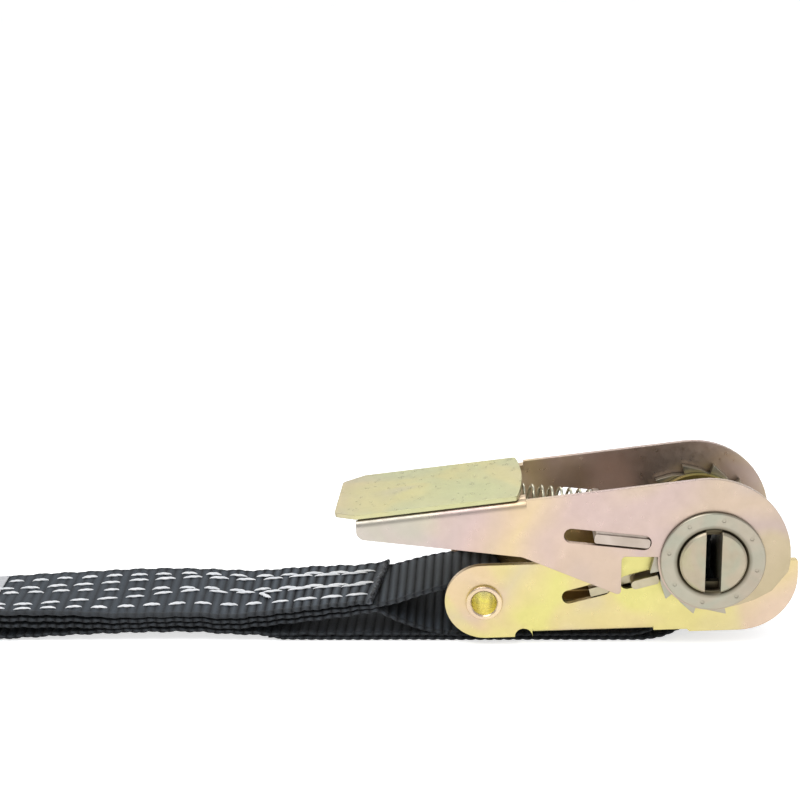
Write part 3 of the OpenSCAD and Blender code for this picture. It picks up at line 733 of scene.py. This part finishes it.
def steel_material(name, dark, light, rough):
    """Plain pawl or spring steel under a thin clear plating."""
    n = Nodes(name)
    where = n.coords()
    tone = n.noise(where, 90, 3, 0.6, 0.5)
    n.link(n.ramp(tone, [(0.3, dark), (0.7, light)]), n.shader.inputs["Base Color"])
    n.shader.inputs["Metallic"].default_value = 0.95
    grain = n.noise(n.coords((200, 1400, 200)), 1.0, 3, 0.6)
    n.link(n.spread(grain, rough - 0.08, rough + 0.12), n.shader.inputs["Roughness"])
    n.link(n.bump(grain, 0.12, 0.00008, n.rounded_edges(0.3 * MM)), n.shader.inputs["Normal"])
    return n.material


def dress(node, material):
    """Give a CAD node its material."""
    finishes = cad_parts[node].data.materials
    finishes.clear()
    finishes.append(material)


YELLOW = (0.85, 0.78, 0.29)
PEACH = (0.86, 0.66, 0.40)
GOLD = (0.84, 0.70, 0.33)
PINK = (0.75, 0.57, 0.52)
TAN = (0.70, 0.57, 0.44)
OLIVE = (0.68, 0.65, 0.37)
GREEN = (0.64, 0.65, 0.38)
MINT = (0.56, 0.58, 0.46)

# Within 13.9 mm of the middle plane the frame is darkened brown: painted shade and dark reflection
# between the plates
plate_zinc = zinc("zinc_plate", [(-14, PEACH), (-2, PINK), (8, PEACH), (20, YELLOW), (62, YELLOW),
                                 (84, GOLD), (104, PINK)], [PINK, PEACH, YELLOW, YELLOW, PEACH],
                  patch=15, tint=0.5, slope=1.2, inner=(13.9, (0.60, 0.49, 0.40)), level=0.80)
pin_zinc = zinc("zinc_pin", [(-8, PEACH), (0, (0.88, 0.72, 0.48)), (8, PINK)], [GOLD, PINK, PEACH],
                (0.2, 0.32), patch=60, inner=(16.6, (1.3, 1.5, 0.9)), level=0.88, gaps=False)
handle_zinc = zinc("zinc_handle", [(-42, (0.64, 0.63, 0.55)), (-34, (0.70, 0.56, 0.58)),
                                   (-22, (0.76, 0.57, 0.55)), (-10, (0.84, 0.63, 0.47)),
                                   (0, (0.88, 0.69, 0.42)), (14, PINK),
                                   (70, (0.68, 0.54, 0.47)), (96, (0.50, 0.41, 0.33))],
                   [PINK, TAN, PEACH, PINK, GOLD], patch=16, tint=0.35, slope=0.3, level=0.77)
grip_zinc = zinc("zinc_grip", [(-52, TAN), (-38, OLIVE), (-14, (0.68, 0.68, 0.33)), (14, OLIVE)],
                 [GREEN, OLIVE, GOLD, TAN], patch=24, level=0.80)
# Within 13 mm of the spool axis the rings are darkened by painted shade and some grime
ring_zinc = zinc("zinc_ring", [(54, (0.52, 0.50, 0.40)), (75, (0.58, 0.56, 0.45)),
                               (96, (0.55, 0.48, 0.38))], [MINT, TAN, MINT], (0.30, 0.46), patch=60,
                 tint=0.3, spool_shade_grime=(11.2, 13.0, (0.22, 0.20, 0.15)), level=0.72)
shaft_zinc = zinc("zinc_shaft", [(62, (0.55, 0.48, 0.32)), (88, (0.58, 0.52, 0.38))],
                  [MINT, TAN, OLIVE], (0.34, 0.5), patch=70, level=0.72)
base_pawl_steel = steel_material("frame_pawl_steel", (0.38, 0.33, 0.22), (0.52, 0.46, 0.32), 0.34)
drive_pawl_steel = steel_material("drive_pawl_steel", (0.42, 0.35, 0.29), (0.53, 0.45, 0.39), 0.34)
spring_steel = steel_material("spring_wire", (0.50, 0.47, 0.34), (0.74, 0.71, 0.56), 0.28)

FINISH = {
    "base_frame": plate_zinc, "anchor_pin": pin_zinc,
    "ratchet_wheel_near": ring_zinc, "ratchet_wheel_far": ring_zinc,
    "retaining_ring_near": ring_zinc, "retaining_ring_far": ring_zinc,
    "half_shaft_left": shaft_zinc, "half_shaft_right": shaft_zinc,
    "handle_side_near": handle_zinc, "handle_side_far": handle_zinc, "grip_plate": grip_zinc,
    "base_pawl": base_pawl_steel, "handle_pawl": drive_pawl_steel,
}
for node_name, finish in FINISH.items():
    dress(node_name, finish)

coil("base_pawl_spring", "root", angle=15.5, line=-2.2, moving=-41.75,
     fixed=-56.15, mean_r=3.0, wire_r=0.45, turns=5)
coil("handle_pawl_spring", "handle", angle=173.6, line=-8.3, moving=39.25,
     fixed=65.95, mean_r=4.0, wire_r=0.5, turns=9)

# ------------------------------------------------------------------ webbing pieces

web_cloth = web_material()
places = stitch_places()
route = strap_route()
sewn_line = lifted(stack, 2 * LAYER + WEB_T / 2)[::-1]
sewn_x = [-p[0] for p in sewn_line]
sewn_s = distances(sewn_line)
dents = []
for x, y, half, slant in places:
    for end in (-1, 1):
        dents.append((float(np.interp(-(x + end * half), sewn_x, sewn_s)), y + end * slant))

sewn_len = float(sewn_s[-1])
loop_line = loop_route()
loop_len = path_length(loop_line)
wound_line = wound_route()
main_strap = webbing(
    "main_strap", route, dents, melt=0.8, sewn_end=sewn_len,
    leans=[(0, sewn_len + 12, SEWN_LEAN, OPEN, 0, FAR),
           (STRAP_LEN / 2, STRAP_LEN - 200, LOWER_LEAN, RISE, 1, NEAR)])
# The loop's last row lies a rounding error past loop_len, so the lean leaves it out
anchor_loop = webbing("anchor_loop_webbing", loop_line,
                      leans=[(0, loop_len / 2, SEWN_LEAN, OPEN, 1, FAR),
                             (loop_len / 2, loop_len, LEG_LEAN, OPEN, 2, FAR)])
wound = webbing("wound_turn", wound_line)
for piece in (main_strap, anchor_loop, wound):
    piece.data.materials.append(web_cloth)
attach(main_strap, "root")
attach(anchor_loop, "root")
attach(wound, "spool")
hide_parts("main_strap_sewn_end", "strap_roll", "main_strap_lower_run")
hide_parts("anchor_loop")
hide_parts("wound_webbing")

threads = stitches(places)
threads.data.materials.append(thread_material())
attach(threads, "root")
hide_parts("stitching")
label = label_cloth()
label.data.materials.append(label_material())
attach(label, "root")
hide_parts("blank_label")

# ------------------------------------------------------------------ stage, light and camera


def add_floor():
    """Pale round floor, in metres, that rises far away on every side."""
    sides = 64
    flat_r, edge_r, edge_height = 30, 42, 6
    below = 0.0002      # keeps the floor clear of the undersides that rest on it
    turns = [2 * math.pi * k / sides for k in range(sides)]
    points = [(flat_r * math.cos(a), flat_r * math.sin(a), -below) for a in turns]
    points += [(edge_r * math.cos(a), edge_r * math.sin(a), edge_height) for a in turns]
    faces = [tuple(range(sides))]
    faces += [(k, (k + 1) % sides, sides + (k + 1) % sides, sides + k) for k in range(sides)]
    floor = mesh_object("floor", points, faces)
    material = bpy.data.materials.new("pale_floor")
    material.use_nodes = True
    shader = material.node_tree.nodes["Principled BSDF"]
    shader.inputs["Base Color"].default_value = (0.85, 0.85, 0.85, 1)
    shader.inputs["Roughness"].default_value = 0.9
    shader.inputs["Emission Color"].default_value = (1, 1, 1, 1)
    shader.inputs["Emission Strength"].default_value = 0.62
    floor.data.materials.append(material)


def add_area(name, place, target, size, power):
    data = bpy.data.lights.new(name, "AREA")
    data.shape = "RECTANGLE"
    data.size, data.size_y = size
    data.energy = power
    light = bpy.data.objects.new(name, data)
    bpy.context.scene.collection.objects.link(light)
    light.location = place
    light.rotation_euler = (Vector(target) - Vector(place)).to_track_quat("-Z", "Y").to_euler()


def add_world():
    world = bpy.data.worlds.new("studio")
    bpy.context.scene.world = world
    world.use_nodes = True
    background = world.node_tree.nodes["Background"]
    background.inputs["Color"].default_value = (0.95, 0.97, 1.0, 1)
    background.inputs["Strength"].default_value = 0.6


def add_camera():
    data = bpy.data.cameras.new("camera")
    data.lens = 62.1
    data.sensor_width = 36
    data.clip_start = 0.01
    camera = bpy.data.objects.new("camera", data)
    bpy.context.scene.collection.objects.link(camera)
    yaw, pitch, roll = math.radians(4.0), math.radians(16.6), math.radians(-1.8)
    ahead = Vector((-math.sin(yaw) * math.cos(pitch), math.cos(yaw) * math.cos(pitch),
                    -math.sin(pitch)))
    level = Vector((math.cos(yaw), math.sin(yaw), 0))
    above = level.cross(ahead)
    right = math.cos(roll) * level + math.sin(roll) * above
    up = math.cos(roll) * above - math.sin(roll) * level
    turn = Matrix((right, up, -ahead)).transposed().to_4x4()
    place = Vector((0.0036, -0.4441, 0.2157))
    camera.matrix_world = Matrix.Translation(place) @ turn
    bpy.context.scene.camera = camera


add_floor()
add_world()
add_area("key", place=(-0.35, -0.45, 1.1), target=(0, 0, 0.02), size=(0.9, 0.7), power=6)
add_area("back", place=(0.1, 0.9, 0.8), target=(0, 0, 0.03), size=(1.2, 0.5), power=4)
add_camera()
bpy.context.scene.view_settings.view_transform = "Standard"
